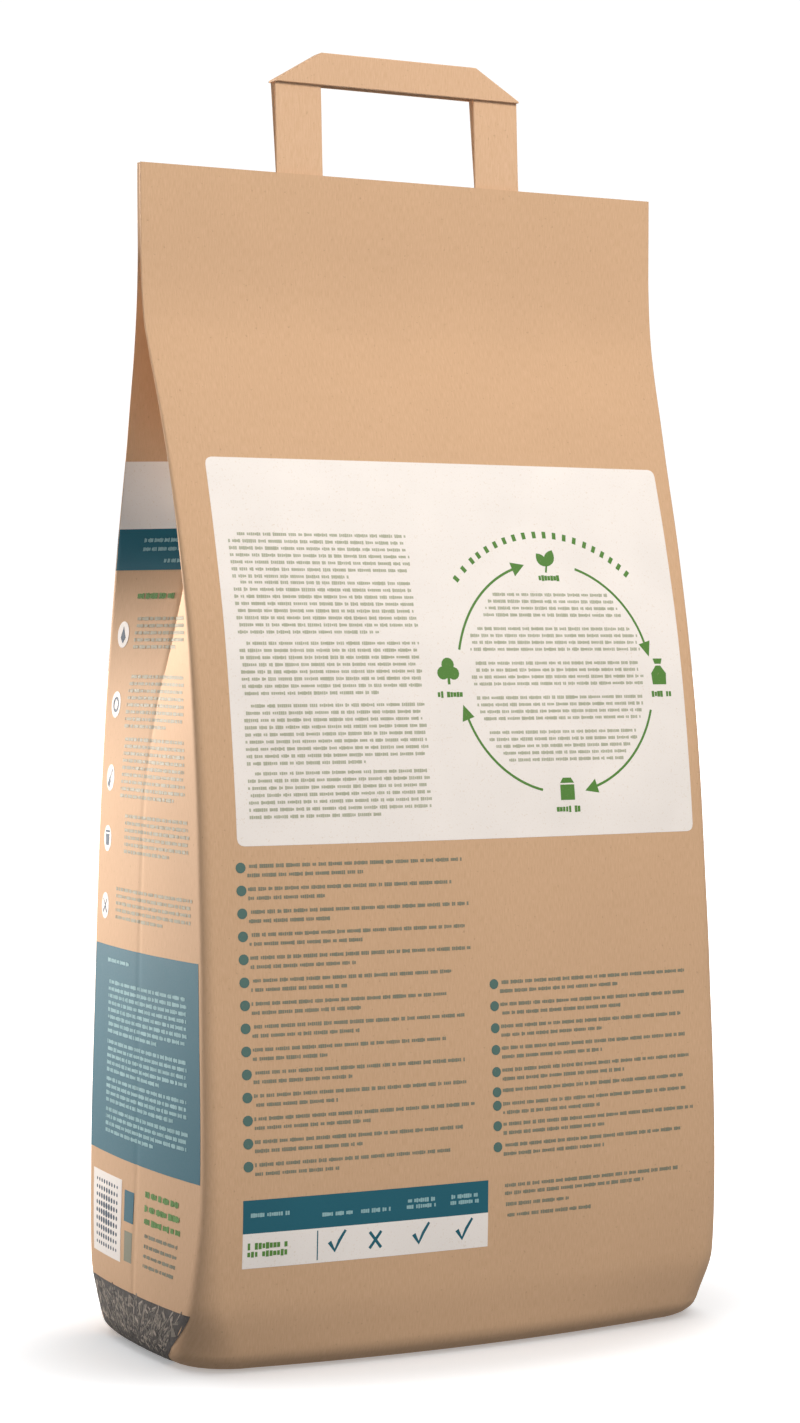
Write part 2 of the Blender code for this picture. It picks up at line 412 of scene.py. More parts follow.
heights = sack_heights()
rings = np.array([full_ring(height) for height in heights])
grid = np.dstack((rings[:, :, 0], rings[:, :, 1], np.repeat(heights[:, None], rings.shape[1], 1)))
across = np.gradient(grid, axis=1)
upward = np.gradient(grid, axis=0)
outward = np.cross(across, upward)
outward /= np.maximum(np.linalg.norm(outward, axis=2, keepdims=True), 1e-12)
flat_points = grid.reshape(-1, 3)
share = flat_points[:, 2] / SACK_HEIGHT
filled = np.clip(share / 0.05, 0, 1) * np.clip((0.80 - share) / 0.25, 0, 1)
seam = np.clip((share - 0.86) / 0.06, 0, 1) * np.clip((1.0 - share) / 0.05, 0, 1)
dimples = filled * (0.30 * calm_noise(flat_points, 0.085, 1) + 0.07 * calm_noise(flat_points, 0.030, 2))
dimples += 0.10 * seam * calm_noise(flat_points, 0.050, 3)
paper_u = rings[:, :, 2].reshape(-1)
to_crease = np.abs(np.abs(paper_u) - SIDE_MIDDLE)
dimples -= 0.35 * filled * np.exp(-(to_crease / 0.0016) ** 2)
moved = flat_points + outward.reshape(-1, 3) * dimples[:, None] * MM
columns = rings.shape[1] - 1
moved = moved.reshape(len(heights), columns + 1, 3)
moved[:, -1] = moved[:, 0]
print("sack grid:", len(heights), "rows of", columns)

# %% Close the sack at the seam and at the foot
def sack_mesh():
    """The lofted wall, a channel between the outer layers at the seam, and a folded-in base."""
    shell = bmesh.new()
    paper = shell.loops.layers.uv.new("paper")
    rows = []
    for level in moved:
        rows.append([shell.verts.new(point) for point in level[:-1]])
    top = moved[-1][:-1]
    narrow = top * np.array([(PANEL - PLY) / PANEL, (SEAM_HALF - PLY) / SEAM_HALF, 1.0])
    rows.append([shell.verts.new(point) for point in narrow])
    rows.append([shell.verts.new(point - np.array([0, 0, SEAM_CHANNEL])) for point in narrow])
    foot = moved[0][:-1]
    for scale, lift in ((0.90, 0.0), (0.895, 0.0006)):
        ring = foot * np.array([scale + 0.05, scale, 1.0]) + np.array([0, 0, lift])
        rows.insert(0, [shell.verts.new(point) for point in ring])
    widths = np.concatenate((np.repeat(rings[:1, :, 2], 2, 0), rings[:, :, 2], np.repeat(rings[-1:, :, 2], 2, 0)))
    levels = np.concatenate(([-0.02, -0.019], heights, [SACK_HEIGHT + 0.001, SACK_HEIGHT + 0.004]))
    for low in range(len(rows) - 1):
        for column in range(columns):
            after = (column + 1) % columns
            corners = (rows[low][column], rows[low][after], rows[low + 1][after], rows[low + 1][column])
            face = shell.faces.new(corners)
            places = ((low, column), (low, column + 1), (low + 1, column + 1), (low + 1, column))
            for loop, (row, place) in zip(face.loops, places):
                loop[paper].uv = (widths[row, place] + 0.5, levels[row])
    shell.faces.new(list(reversed(rows[0])))
    shell.faces.new(rows[-1])
    mesh = bpy.data.meshes.new("paper_sack")
    shell.to_mesh(mesh)
    shell.free()
    return mesh


sack = link_object("paper_sack", sack_mesh())
sack.data.materials.append(sack_paper_finish)
sack.data.shade_smooth()
sack.data.set_sharp_from_angle(angle=math.radians(38))
outs = sack.data.attributes.new("outward", "FLOAT_VECTOR", "POINT")
normals = np.array([vertex.normal for vertex in sack.data.vertices], dtype=np.float32)
outs.data.foreach_set("vector", normals.ravel())
print("sack triangles:", sum(len(face.vertices) - 2 for face in sack.data.polygons))
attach(sack, "root")
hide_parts("bag_body")

# %% [markdown]
# ## Printing on the paper
# Print follows the paper, so it is laid out flat first, as on a press: x is the distance round the
# sack from the middle of the front and y is the height above the floor. A Geometry Nodes tree then
# looks up, for each flat point, the place on the sack with the same UV and the direction that leads
# out of the paper there. All layouts, from large colour fields to rows of tiny strokes, use one ending.

# %% A tree that wraps a flat layout on the sack
SHEET_INPUTS = {"Sheet": "Object", "Lift": "Float", "Ink": "Material"}


def new_tree(name, inputs):
    """A geometry tree with named inputs. Returns the tree and its input node's sockets."""
    tree = bpy.data.node_groups.new(name, "GeometryNodeTree")
    tree.interface.new_socket("Geometry", in_out="INPUT", socket_type="NodeSocketGeometry")
    for label, kind in inputs.items():
        tree.interface.new_socket(label, in_out="INPUT", socket_type="NodeSocket" + kind)
    tree.interface.new_socket("Geometry", in_out="OUTPUT", socket_type="NodeSocketGeometry")
    return tree, tree.nodes.new("NodeGroupInput").outputs


def wrap_on_sheet(tree, given, layout):
    """Ends a tree: real geometry, moved onto the sheet, in its ink."""
    real = add(tree, "GeometryNodeRealizeInstances", {"Geometry": layout})
    flat = add(tree, "GeometryNodeInputPosition").outputs[0]
    parts = add(tree, "ShaderNodeSeparateXYZ", {"Vector": flat}).outputs
    along = add(tree, "ShaderNodeMath", {0: parts["X"], 1: 0.5}).outputs[0]
    place = add(tree, "ShaderNodeCombineXYZ", {"X": along, "Y": parts["Y"]}).outputs[0]
    sheet = add(tree, "GeometryNodeObjectInfo", {"Object": given["Sheet"]}).outputs["Geometry"]
    paper = add(tree, "GeometryNodeInputNamedAttribute", {"Name": "paper"}, data_type="FLOAT_VECTOR")
    outward = add(tree, "GeometryNodeInputNamedAttribute", {"Name": "outward"}, data_type="FLOAT_VECTOR")
    found = []
    for value in (flat, outward.outputs[0]):
        lookup = add(tree, "GeometryNodeSampleUVSurface", data_type="FLOAT_VECTOR")
        tree.links.new(sheet, lookup.inputs["Mesh"])
        tree.links.new(value, lookup.inputs["Value"])
        tree.links.new(paper.outputs[0], lookup.inputs["UV Map"])
        tree.links.new(place, lookup.inputs["Sample UV"])
        found.append(lookup.outputs["Value"])
    height = add(tree, "ShaderNodeMath", {0: parts["Z"], 1: given["Lift"]}).outputs[0]
    lift = add(tree, "ShaderNodeVectorMath", {0: found[1], "Scale": height}, operation="SCALE").outputs[0]
    target = add(tree, "ShaderNodeVectorMath", {0: found[0], 1: lift}).outputs[0]
    moved_there = add(tree, "GeometryNodeSetPosition", {"Geometry": real.outputs[0], "Position": target})
    inked = add(tree, "GeometryNodeSetMaterial", {
        "Geometry": moved_there.outputs[0], "Material": given["Ink"]})
    add(tree, "NodeGroupOutput", {"Geometry": inked.outputs[0]})


def press(name, layout, tree, **values):
    """Runs a flat layout through a tree and keeps the result as a plain mesh piece."""
    piece = link_object(name, layout)
    modifier = piece.modifiers.new("press", "NODES")
    modifier.node_group = tree
    values.setdefault("Sheet", sack)
    for item in tree.interface.items_tree:
        if item.in_out == "INPUT" and item.name in values:
            modifier[item.identifier] = values[item.name]
    graph = bpy.context.evaluated_depsgraph_get()
    piece.data = bpy.data.meshes.new_from_object(piece.evaluated_get(graph))
    piece.modifiers.clear()
    piece.data.shade_smooth()
    piece.data.set_sharp_from_angle(angle=math.radians(35))
    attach(piece, "root")
    print(name, "triangles:", sum(len(face.vertices) - 2 for face in piece.data.polygons))
    return piece


field_tree, field_given = new_tree("wrap_fields", SHEET_INPUTS)
wrap_on_sheet(field_tree, field_given, field_given["Geometry"])

# %% [markdown]
# Flat shapes are lists of points in millimetres and faces that join them. A large field is a grid
# with a point every few millimetres, because it has to bend with the sack. Small marks are single
# polygons. Each shape becomes a closed film: a top face, a bottom face and a thin edge between them.

# %% Flat shapes
def field(left, right, bottom, top, radius=0.0, step=4.0):
    """A rectangle as a grid, with rounded corners."""
    grids = []
    for start, end in ((left, right), (bottom, top)):
        inner = np.linspace(start + radius, end - radius, max(2, round((end - start) / step) + 1))
        round_off = radius * (1 - np.cos(np.linspace(0, math.pi / 2, 4)))[:-1] if radius else []
        grids.append(np.concatenate((start + np.array(round_off), inner, (end - np.array(round_off))[::-1])))
    across, up = grids
    middle = np.array([(left + right) / 2, (bottom + top) / 2])
    core = np.array([(right - left) / 2, (top - bottom) / 2]) - radius
    points = []
    for y in up:
        for x in across:
            away = np.array([x, y]) - middle
            over = np.maximum(np.abs(away) - core, 0)
            if over.min() > 1e-9:
                over *= over.max() / np.linalg.norm(over)
                away = np.sign(away) * (core + over)
            points.append(tuple(middle + away))
    count = len(across)
    faces = [(low, low + 1, low + 1 + count, low + count)
             for row in range(len(up) - 1) for low in range(row * count, row * count + count - 1)]
    return points, faces


def polygon(*corners):
    """One flat face, corners counter-clockwise."""
    return list(corners), [tuple(range(len(corners)))]


def disc(x, y, radius, sides=14, squash=1.0):
    """A round dot."""
    turns = [2 * math.pi * side / sides for side in range(sides)]
    return polygon(*((x + radius * math.cos(turn), y + squash * radius * math.sin(turn)) for turn in turns))


def stroke(path, width, ends=1.0):
    """A line of even width along a path of points, or of another width at its end."""
    path = np.array(path, dtype=float)
    ahead = np.gradient(path, axis=0)
    ahead /= np.linalg.norm(ahead, axis=1, keepdims=True)
    aside = np.stack((-ahead[:, 1], ahead[:, 0]), 1)
    half = width / 2 * np.linspace(1.0, ends, len(path))[:, None]
    points = [tuple(point) for point in np.concatenate((path - aside * half, path + aside * half))]
    count = len(path)
    return points, [(low, low + 1, low + 1 + count, low + count) for low in range(count - 1)]


def arc(x, y, radius, start, end, steps=24):
    """Points on a circle between two angles in degrees."""
    turns = np.radians(np.linspace(start, end, steps))
    return [(x + radius * math.cos(turn), y + radius * math.sin(turn)) for turn in turns]


def film(name, shapes, thickness=0.08):
    """All shapes as one mesh of closed films, in metres, lying flat."""
    points, faces = [], []
    for flat, cells in shapes:
        low, high = len(points), len(points) + len(flat)
        points += [(x * MM, y * MM, -thickness / 2 * MM) for x, y in flat]
        points += [(x * MM, y * MM, thickness / 2 * MM) for x, y in flat]
        sides = {pair for cell in cells for pair in zip(cell, cell[1:] + cell[:1])}
        faces += [[high + corner for corner in cell] for cell in cells]
        faces += [[low + corner for corner in reversed(cell)] for cell in cells]
        for first, second in sorted(sides):
            if (second, first) not in sides:
                faces.append([low + first, low + second, high + second, high + first])
    mesh = bpy.data.meshes.new(name)
    mesh.from_pydata(points, [], faces)
    return mesh


print("a round-cornered field has", len(field(0, 100, 0, 100, 3)[1]), "cells")

# %% [markdown]
# Flexographic ink on kraft is thin and matt. It doesn't quite fill the hollows between the fibres,
# so brown pinholes show through, and a large field is never the same shade all over. The material
# mixes the ink with a kraft-tinted version of it by a fine noise, and adds a slow drift in shade.

# %% Ink material
def ink(name, base, worn, coverage=0.62):
    """Water-based flexo ink. Pinholes about 0.4 mm wide show the worn colour."""
    material = bpy.data.materials.new(name)
    material.use_nodes = True
    tree = material.node_tree
    shader = tree.nodes["Principled BSDF"]
    place = add(tree, "ShaderNodeTexCoord").outputs["Object"]
    holes = add(tree, "ShaderNodeTexNoise", {"Vector": place, "Scale": 1 / (0.8 * MM), "Detail": 2.0})
    drift = add(tree, "ShaderNodeTexNoise", {"Vector": place, "Scale": 1 / (40 * MM), "Detail": 2.0})
    mask = add(tree, "ShaderNodeMapRange", {
        "Value": holes.outputs[0], "From Min": coverage, "From Max": coverage + 0.10, "To Max": 0.5})
    tone = add(tree, "ShaderNodeMapRange", {
        "Value": drift.outputs[0], "From Min": 0.3, "From Max": 0.7, "To Min": 0.96, "To Max": 1.03})
    body = add(tree, "ShaderNodeMix", {
        "Factor": mask.outputs[0], "A": colour(base), "B": colour(worn)}, data_type="RGBA")
    drifted = add(tree, "ShaderNodeVectorMath", {
        0: body.outputs["Result"], "Scale": tone.outputs[0]}, operation="SCALE")
    tree.links.new(drifted.outputs[0], shader.inputs["Base Color"])
    rough = add(tree, "ShaderNodeMapRange", {"Value": holes.outputs[0], "To Min": 0.55, "To Max": 0.75})
    tree.links.new(rough.outputs[0], shader.inputs["Roughness"])
    relief = add(tree, "ShaderNodeBump", {"Height": holes.outputs[0], "Strength": 0.08, "Distance": 0.0002})
    tree.links.new(relief.outputs[0], shader.inputs["Normal"])
    shader.inputs["Specular IOR Level"].default_value = 0.35
    return material


white_ink = ink("flexo_white_ink", "#efe8e2", "#dccbb8")
teal_ink = ink("flexo_teal_ink", "#075565", "#1f5c68")
green_ink = ink("flexo_leaf_green_ink", "#4f7f33", "#7d8f5a")
olive_ink = ink("flexo_pale_olive_text_ink", "#aeb09a", "#c2bfab")
night_ink = ink("flexo_night_blue_ink", "#2b3f52", "#56616a")
bullet_ink = ink("flexo_grey_green_ink", "#4b6a63", "#77786a")
slate_ink = ink("flexo_slate_text_ink", "#7f7f6c", "#957f63")
# The side's grey text ink is a paler copy of the slate text ink: a painted sheen for the brightly lit middle of the
# side.
side_ink_with_painted_sheen = ink("flexo_side_ink_with_painted_sheen", "#a39d88", "#b0a184")
pale_ink = ink("flexo_pale_text_ink", "#8fb4b8", "#7ba3a8")

# %% [markdown]
# ### Colour fields
# The front carries a large white panel, a small table, and columns of lines with round bullets. The
# left side carries a white and a teal band, a row of white discs, a teal block and a pale square. The
# sizes below are distances on the sheet laid flat. The places kept for a maker's name stay empty.

# %% Where the print goes, in mm
LABEL = (-110.0, 118.0, 221.0, 386.3)
TABLE_LEFT, TABLE_RIGHT, TABLE_TOP, TABLE_SPLIT, TABLE_FOOT = -111.3, 3.3, 74.0, 60.0, 45.3
TABLE_MARKS = ((-68.7, True), (-50.9, False), (-29.3, True), (-8.4, True))
SIDE_FRONT, SIDE_BACK = -131.0, -256.0
CYCLE_X, CYCLE_Y, CYCLE_RADIUS = 50.0, 291.0, 51.0
BULLET_STEP = 9.55
LEFT_BULLETS = [212.1 - BULLET_STEP * row for row in range(14)]
RIGHT_BULLETS = [158.2, 148.7, 139.2, 129.8, 120.3, 111.6, 105.8, 97.0, 87.9]

# %% White fields
white_shapes = [
    field(*LABEL, radius=3.2),
    field(SIDE_BACK, SIDE_FRONT, 356.5, 386.0, step=2.0),
    field(TABLE_LEFT, TABLE_RIGHT, TABLE_FOOT, TABLE_SPLIT),
    field(-251.0, -210.5, 36.0, 71.5),
]
ICON_HEIGHTS = (310.0, 279.0, 246.5, 219.5, 189.5)
for height in ICON_HEIGHTS:
    white_shapes.append(disc(-243.0, height, 5.6, 24, 1.05))
press("white_fields", film("white_fields", white_shapes), field_tree, Lift=0.05 * MM, Ink=white_ink)

# %% Teal fields and marks
def check_mark(x, y, size):
    """A tick as two tapering strokes."""
    return stroke([(x - 0.5 * size, y + 0.05 * size), (x - 0.15 * size, y - 0.5 * size),
                   (x + 0.15 * size, y + 0.1 * size), (x + 0.55 * size, y + 0.7 * size)], 0.26 * size, 0.6)


def cross_mark(x, y, size):
    """A cross as two strokes."""
    reach = 0.42 * size
    return (stroke([(x - reach, y - 1.3 * reach), (x + reach, y + 1.3 * reach)], 0.2 * size),
            stroke([(x - reach, y + 1.3 * reach), (x + reach, y - 1.3 * reach)], 0.2 * size))


teal_shapes = [
    field(SIDE_BACK, SIDE_FRONT, 338.4, 356.5, step=2.0),
    field(SIDE_BACK, SIDE_FRONT, 80.6, 172.3, step=2.0),
    field(TABLE_LEFT, TABLE_RIGHT, TABLE_SPLIT, TABLE_TOP),
]
mark_shapes, bullet_shapes = [], []
for x, passed in TABLE_MARKS:
    mark_shapes += [check_mark(x, 53.4, 7.0)] if passed else cross_mark(x, 53.0, 6.4)
mark_shapes.append(stroke([(-77.7, 46.5), (-77.7, 59.0)], 0.5))
for height in LEFT_BULLETS:
    bullet_shapes.append(disc(-108.9, height, 2.25))
for height in RIGHT_BULLETS:
    bullet_shapes.append(disc(8.1, height, 2.2))
# A plain figure on each white disc: a drop, a ring, a broom, a bin and two crossed strokes.
X_ICON = -243.0
icon_shapes = [
    polygon((X_ICON - 2.4, 308.6), (X_ICON, 306.2), (X_ICON + 2.4, 308.6), (X_ICON, 313.8)),
    stroke(arc(X_ICON, 279.0, 2.9, 0, 360, 21), 1.3),
    stroke([(X_ICON + 2.6, 250.4), (X_ICON - 0.6, 246.2)], 0.9),
    polygon((X_ICON - 3.8, 243.6), (X_ICON - 1.2, 241.9), (X_ICON + 0.6, 245.2), (X_ICON - 1.4, 246.8)),
    polygon((X_ICON - 2.2, 216.4), (X_ICON + 2.2, 216.4), (X_ICON + 2.8, 221.4), (X_ICON - 2.8, 221.4)),
    stroke([(X_ICON - 3.2, 222.6), (X_ICON + 3.2, 222.6)], 0.9),
    stroke([(X_ICON - 2.8, 186.6), (X_ICON + 2.8, 192.6)], 1.2, 0.4),
    stroke([(X_ICON + 2.8, 186.6), (X_ICON - 2.8, 192.6)], 1.2, 0.4),
]
# A swatch of dots that shrink towards the edge fills the pale square.
SQUARE_X, SQUARE_Y, DOT_STEP = -230.7, 53.7, 3.4
for row in range(-4, 5):
    for column in range(-4, 5):
        fade = 1.0 - math.hypot(row, column) / 6.5
        icon_shapes.append(disc(SQUARE_X + column * DOT_STEP * 1.05, SQUARE_Y + row * DOT_STEP,
                                0.6 + 1.05 * fade, 10))
press("icon_figures", film("icon_figures", icon_shapes), field_tree, Lift=0.11 * MM, Ink=night_ink)
press("bullets", film("bullets", bullet_shapes), field_tree, Lift=0.06 * MM, Ink=bullet_ink)
press("teal_fields", film("teal_fields", teal_shapes), field_tree, Lift=0.05 * MM, Ink=teal_ink)

# %% [markdown]
# The panel's right half shows a cycle: four arrows on a ring, with a small figure at each quarter.
# The figures here are plain ones: a pair of leaves, a tied bag, a box and a shrub.

# %% The cycle of arrows and its four figures
def arrow_head(x, y, radius, turn, size):
    """A triangle at the end of an arc that runs clockwise."""
    angle = math.radians(turn)
    out = np.array([math.cos(angle), math.sin(angle)])
    ahead = np.array([out[1], -out[0]])
    tip = np.array([x, y]) + radius * out + ahead * size
    base = np.array([x, y]) + radius * out - ahead * 0.3 * size
    return polygon(tuple(tip), tuple(base + out * 0.62 * size), tuple(base - out * 0.62 * size))


def leaf(x, y, length, turn):
    """A pointed oval leaf that grows from one point."""
    steps = np.linspace(0, 1, 7)
    half = 0.30 * length * np.sin(steps * math.pi) ** 0.8
    spine = np.stack((steps * length, np.zeros(7)), 1)
    outline = np.concatenate((spine - np.stack((0 * half, half), 1), (spine + np.stack((0 * half, half), 1))[-2:0:-1]))
    c, s = math.cos(math.radians(turn)), math.sin(math.radians(turn))
    return polygon(*((x + c * px - s * py, y + s * px + c * py) for px, py in outline))


green_shapes = []
for start, end in ((166, 108), (72, 16), (-17, -73), (-104, -161)):
    green_shapes.append(stroke(arc(CYCLE_X, CYCLE_Y, CYCLE_RADIUS, start, end), 1.1))
    green_shapes.append(arrow_head(CYCLE_X, CYCLE_Y, CYCLE_RADIUS, end, 5.2))
green_shapes += [leaf(51.0, 340.5, 8.5, 62), leaf(51.0, 340.5, 7.5, 128), stroke([(51, 341), (50.2, 337.8)], 0.9)]
green_shapes += [polygon((101.2, 287.5), (108.6, 287.5), (109.0, 292.5), (106.2, 296.0), (103.6, 296.0),
                         (100.8, 292.5)), polygon((103.2, 296.8), (106.6, 296.8), (107.4, 299.2), (102.4, 299.2))]
green_shapes += [polygon((46.8, 236.8), (54.2, 236.8), (54.2, 243.6), (46.8, 243.6)),
                 polygon((46.8, 244.3), (54.2, 244.3), (52.6, 246.6), (48.4, 246.6))]
green_shapes += [disc(-8.6, 293.2, 2.9), disc(-3.4, 293.0, 2.8), disc(-6.0, 296.8, 3.1),
                 stroke([(-6.0, 293.5), (-6.0, 288.2)], 1.3)]
for start, end, count in ((137, 126, 3), (122, 98, 6), (93, 74, 5), (69, 47, 6)):
    for turn in np.linspace(start, end, count):
        inner = arc(CYCLE_X, CYCLE_Y, 62.3, turn, turn, 1) + arc(CYCLE_X, CYCLE_Y, 65.3, turn, turn, 1)
        green_shapes.append(stroke(inner, 1.9))
dark_green_shapes = [field(-206.5, -195.5, 54.5, 68.0)]
grey_shapes = [field(-205.5, -196.0, 37.5, 50.5)]
press("grey_patch", film("grey_patch", grey_shapes), field_tree, Lift=0.05 * MM, Ink=slate_ink)
press("green_marks", film("green_marks", green_shapes), field_tree, Lift=0.11 * MM, Ink=green_ink)
press("teal_marks", film("teal_marks", mark_shapes + dark_green_shapes), field_tree, Lift=0.11 * MM, Ink=teal_ink)

# %% [markdown]
# ### Rows of small print
# From where a shopper stands, small print is rows of fine grey strokes in groups. So each row is one
# line in a flat mesh, and a tree does the rest: it puts points along every line, leaves some out to
# part the groups, and stands a small block of random width and height on each of the others. Steps
# of the golden ratio choose the gaps: they never fall side by side and never repeat evenly. A block
# has six faces, which matters when there are thousands.

# %% Text row tree
ROW_INPUTS = {"Pitch": "Float", "Height": "Float", "Seed": "Int"}


def random_value(tree, kind, seed, **limits):
    """A Random Value node of one kind. Only that kind's sockets are switched on."""
    node = tree.nodes.new("FunctionNodeRandomValue")
    node.data_type = kind
    live = [socket for socket in node.inputs if socket.enabled]
    for socket in live:
        if socket.name in limits:
            socket.default_value = limits[socket.name]
        if socket.name == "Seed":
            tree.links.new(seed, socket)
    return next(socket for socket in node.outputs if socket.enabled)


rows_tree, given = new_tree("rows_of_small_print", {**ROW_INPUTS, **SHEET_INPUTS})
lines = add(rows_tree, "GeometryNodeMeshToCurve", {"Mesh": given["Geometry"]})
dots = add(rows_tree, "GeometryNodeCurveToPoints", mode="LENGTH")
rows_tree.links.new(lines.outputs[0], dots.inputs["Curve"])
rows_tree.links.new(given["Pitch"], dots.inputs["Length"])
GOLDEN = 0.618034
spin = add(rows_tree, "ShaderNodeMath", {
    0: add(rows_tree, "GeometryNodeInputIndex").outputs[0], 1: GOLDEN}, operation="MULTIPLY")
wrapped = add(rows_tree, "ShaderNodeMath", {0: spin.outputs[0]}, operation="FRACT")
kept = add(rows_tree, "FunctionNodeCompare", {0: wrapped.outputs[0], 1: 0.16}).outputs[0]
block = add(rows_tree, "GeometryNodeMeshCube", {"Size": (1.0, 1.0, 0.08 * MM)})
vary = random_value(rows_tree, "FLOAT_VECTOR", given["Seed"], Min=(0.70, 0.80, 1.0), Max=(1.0, 1.25, 1.0))
size = add(rows_tree, "ShaderNodeCombineXYZ", {"X": given["Pitch"], "Y": given["Height"], "Z": 1.0})
scaled = add(rows_tree, "ShaderNodeVectorMath", {0: vary, 1: size.outputs[0]}, operation="MULTIPLY")
print_blocks = add(rows_tree, "GeometryNodeInstanceOnPoints", {
    "Points": dots.outputs["Points"], "Selection": kept, "Instance": block.outputs[0],
    "Scale": scaled.outputs[0]})
wrap_on_sheet(rows_tree, given, print_blocks.outputs[0])
print("row tree nodes:", len(rows_tree.nodes))

# %% Rows of each text block
shuffle = np.random.default_rng(11)


def paragraph(left, right, top, rows, step, last=0.6):
    """Even rows, the last one shorter."""
    ends = [right - (right - left) * 0.03 * shuffle.random() for row in range(rows)]
    ends[-1] = left + (right - left) * (last + 0.25 * shuffle.random())
    return [(left, end, top - row * step) for row, end in enumerate(ends)]


def centred(middle, top, rows, step, half_width):
    """Rows centred on one line, each as wide as the given function of its height allows."""
    found = []
    for row in range(rows):
        height = top - row * step
        half = half_width(height) * (0.93 + 0.07 * shuffle.random())
        found.append((middle - half, middle + half, height))
    return found


def row_mesh(name, rows):
    """Rows as the edges of one flat mesh, in metres."""
    points = [(x * MM, height * MM, 0.0) for left, right, height in rows for x in (left, right)]
    mesh = bpy.data.meshes.new(name)
    mesh.from_pydata(points, [(edge, edge + 1) for edge in range(0, len(points), 2)], [])
    return mesh


label_rows = []
for top, rows in ((353.0, 7), (332.2, 8), (306.2, 8), (279.7, 9), (251.2, 7)):
    block_rows = paragraph(-103.6, -18.8, top, rows, 3.03)
    block_rows[0] = (-100.2, -19.5, top)
    label_rows += block_rows
inside = lambda height: min(45.5, math.sqrt(max(47.5 ** 2 - (height - CYCLE_Y) ** 2, 1.0)))
for top, rows in ((327.8, 4), (312.6, 4), (297.4, 4), (282.2, 4), (267.0, 5)):
    label_rows += centred(CYCLE_X + 1.0, top, rows, 3.03, inside)
kraft_rows = []
for height in LEFT_BULLETS:
    kraft_rows += [(-105.6, -3.0 - 14 * shuffle.random(), height + 0.6),
                   (-105.6, -52.0 - 22 * shuffle.random(), height - 3.2)]
for height in RIGHT_BULLETS:
    kraft_rows.append((11.4, 115.5 - 10 * shuffle.random(), height + 0.6))
    if height != RIGHT_BULLETS[5]:
        kraft_rows.append((11.4, 60.0 + 18 * shuffle.random(), height - 3.2))
kraft_rows += [(12.0, 103.0, 71.0), (12.0, 84.0, 67.6), (12.5, 44.0, 62.8), (12.5, 56.5, 58.0)]
side_rows = []
for left, right, top, rows in ((-231, -144, 317, 5), (-229, -144, 291.5, 8), (-226, -142, 264, 9),
                               (-217, -138, 230.5, 6), (-226, -136, 198, 5)):
    side_rows += paragraph(left, right, top, rows, 3.1)
kraft_rows += [(-181, -148, height) for height in (51.8, 47.4, 43.2, 39.0)]

# %% Press the small print
press("label_small_print", row_mesh("label_rows", label_rows), rows_tree,
      Pitch=0.92 * MM, Height=1.25 * MM, Seed=3, Lift=0.13 * MM, Ink=olive_ink)
press("kraft_small_print", row_mesh("kraft_rows", kraft_rows), rows_tree,
      Pitch=0.92 * MM, Height=1.35 * MM, Seed=5, Lift=0.08 * MM, Ink=slate_ink)
# The rows high on the side take the paler ink, a painted sheen over real print; the side's rows near the foot keep the
# slate ink.
press("side_small_print", row_mesh("side_rows", side_rows), rows_tree,
      Pitch=0.92 * MM, Height=1.35 * MM, Seed=6, Lift=0.08 * MM, Ink=side_ink_with_painted_sheen)
teal_rows = [(-236.0, -206.0, 166.0)]
for top, rows in ((156.5, 8), (130.0, 5), (113.5, 4), (100.0, 4)):
    teal_rows += paragraph(-233.0, -142.0, top, rows, 3.1)
teal_rows += [(-233.0, -190.0, 351.5), (-233.0, -190.0, 347.6), (-214.0, -190.0, 342.4)]
teal_rows += [(-107.5, -91.0, 67.6)]
teal_rows += [(x - 6.0, x + 6.0, 68.2) for x, passed in TABLE_MARKS[2:]]
teal_rows += [(x - 6.5, x + 6.5, 65.6) for x, passed in TABLE_MARKS]
press("pale_small_print", row_mesh("teal_rows", teal_rows), rows_tree,
      Pitch=1.0 * MM, Height=1.5 * MM, Seed=7, Lift=0.13 * MM, Ink=pale_ink)
head_rows = [(-234.0, -200.0, 327.0), (-182.0, -150.0, 69.5), (-182.0, -147.0, 63.5), (-182.0, -147.0, 58.0)]
head_rows += [(-108.5, -92.0, 54.6), (-108.5, -92.0, 51.2)]
head_rows += [(x - 5.5, x + 5.5, y) for x, y in ((50.5, 335.3), (104.7, 283.2), (50.5, 232.8), (-6.0, 283.8))]
press("head_small_print", row_mesh("head_rows", head_rows), rows_tree,
      Pitch=1.5 * MM, Height=2.3 * MM, Seed=9, Lift=0.13 * MM, Ink=green_ink)

# %% [markdown]
# ### The strip of chips at the foot
# Along the foot of the side runs a printed band of chopped plant fibre, a field of grey-brown slivers
# that lie every way. It is a scatter, so a tree makes it: points spread over a flat field, a thin
# sliver on each with a random turn, length and shade. The shade is stored on the geometry, and the
# ink reads it.

# %% Sliver ink and tree
def sliver_ink():
    """Process-printed plant fibre: three grey-browns chosen by each sliver's own shade."""
    material = bpy.data.materials.new("process_printed_plant_fibre")
    material.use_nodes = True
    tree = material.node_tree
    shader = tree.nodes["Principled BSDF"]
    tone = add(tree, "ShaderNodeAttribute", attribute_name="tone")
    place = add(tree, "ShaderNodeTexCoord").outputs["Object"]
    grain = add(tree, "ShaderNodeTexNoise", {"Vector": place, "Scale": 1 / (1.2 * MM), "Detail": 3.0})
    mixed = add(tree, "ShaderNodeMath", {0: grain.outputs[0], 1: 0.5, 2: tone.outputs["Fac"]},
                operation="MULTIPLY_ADD")
    ramp = add(tree, "ShaderNodeValToRGB", {"Fac": mixed.outputs[0]})
    stops = ramp.color_ramp.elements
    stops[0].position, stops[0].color = 0.22, colour("#3a3533")
    stops[1].position, stops[1].color = 1.25 / 1.3, colour("#a2968a")
    middle = stops.new(0.62)
    middle.color = colour("#6b655c")
    tree.links.new(ramp.outputs[0], shader.inputs["Base Color"])
    shader.inputs["Roughness"].default_value = 0.7
    shader.inputs["Specular IOR Level"].default_value = 0.3
    return material


